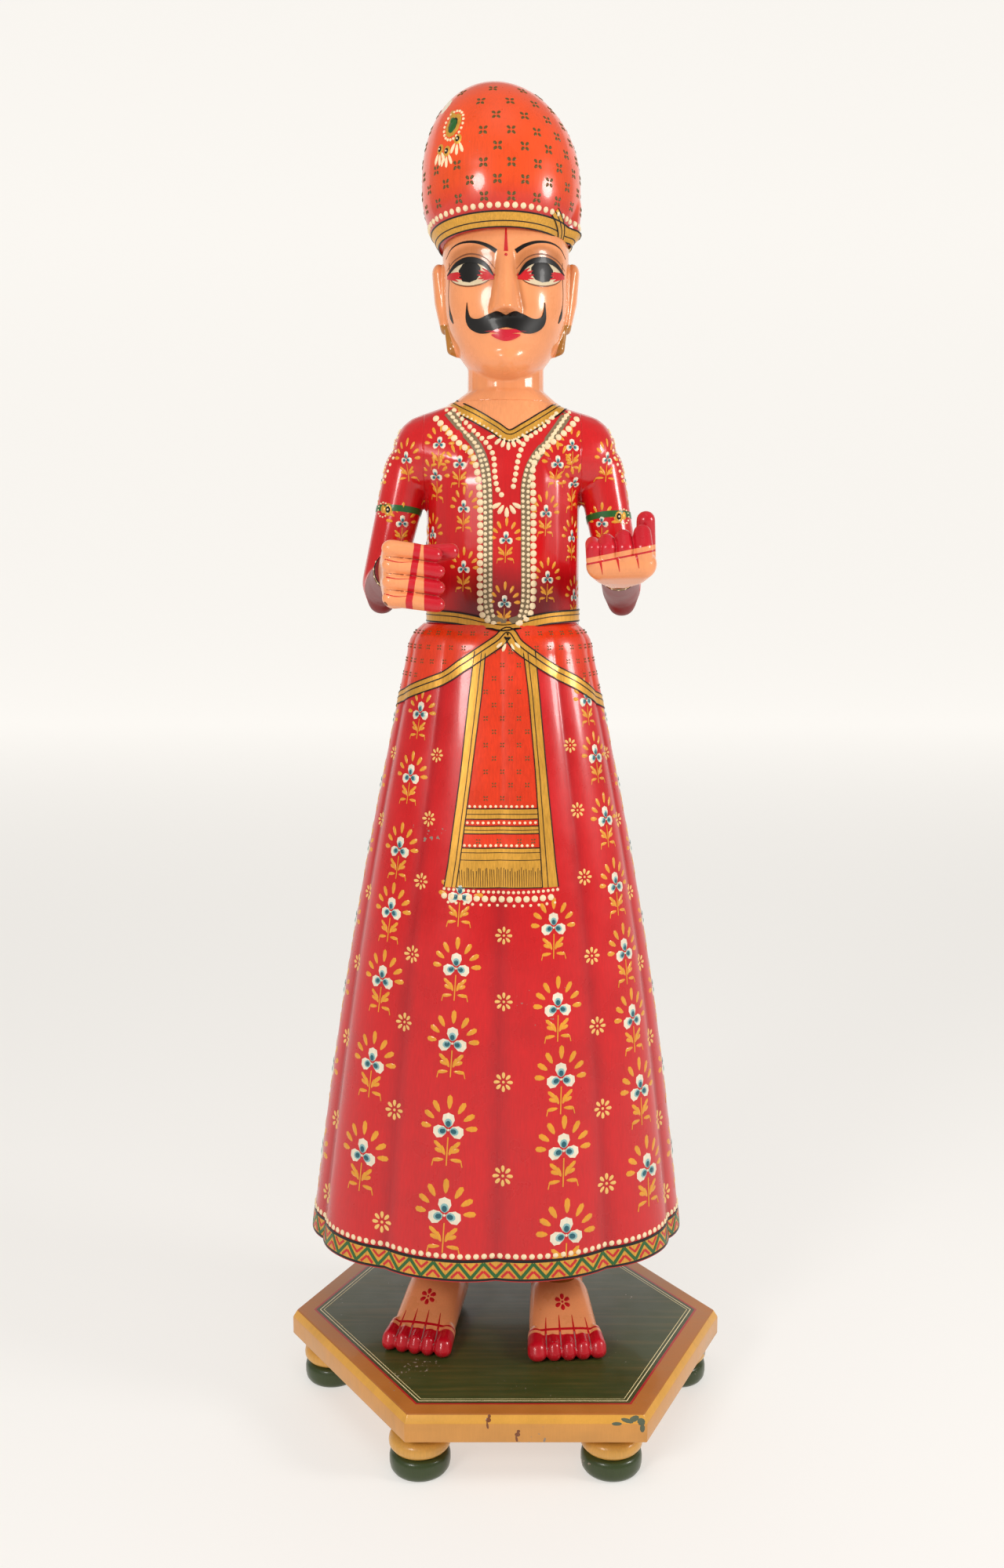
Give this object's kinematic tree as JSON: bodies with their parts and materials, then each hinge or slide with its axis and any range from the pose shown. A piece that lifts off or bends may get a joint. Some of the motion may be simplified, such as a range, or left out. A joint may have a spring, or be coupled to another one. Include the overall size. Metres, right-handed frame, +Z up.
{
  "type": "standing puppet figure",
  "caption": "Standing figure of carved and painted wood with a turban, bent arms and a long fluted skirt, on a hexagonal plinth with turned bun feet.",
  "frame": {"origin": "middle of the plinth, on the ground under the bun feet", "axes": "+Z up, the figure faces -Y, +X is the figure's left"},
  "size_m": [0.416, 0.3602, 1.2],
  "materials": {
    "ochre_paint": "varnished paint",
    "green_paint": "varnished paint",
    "skin_paint": "varnished paint",
    "red_paint": "varnished paint",
    "orange_paint": "varnished paint",
    "bare_wood": "bare",
    "steel": "bright"
  },
  "bodies": {
    "root": {"plinth_board": "ochre_paint", "bun_foot_left": "green_paint", "bun_foot_rear_left": "green_paint", "bun_foot_rear_right": "green_paint", "bun_foot_right": "green_paint", "bun_foot_front_right": "green_paint", "bun_foot_front_left": "green_paint", "right_leg": "skin_paint", "left_leg": "skin_paint", "right_hand": "skin_paint", "left_hand": "skin_paint", "head": "skin_paint", "skirt": "red_paint", "torso": "red_paint", "right_upper_arm": "red_paint", "left_upper_arm": "red_paint", "right_forearm": "red_paint", "left_forearm": "red_paint", "turban": "orange_paint", "waist_dowel": "bare_wood", "neck_dowel": "bare_wood", "turban_peg": "bare_wood", "right_shoulder_dowel": "bare_wood", "right_elbow_dowel": "bare_wood", "right_wrist_dowel": "bare_wood", "left_shoulder_dowel": "bare_wood", "left_elbow_dowel": "bare_wood", "left_wrist_dowel": "bare_wood", "right_leg_screw": "steel", "left_leg_screw": "steel"}
  },
  "joints": []
}
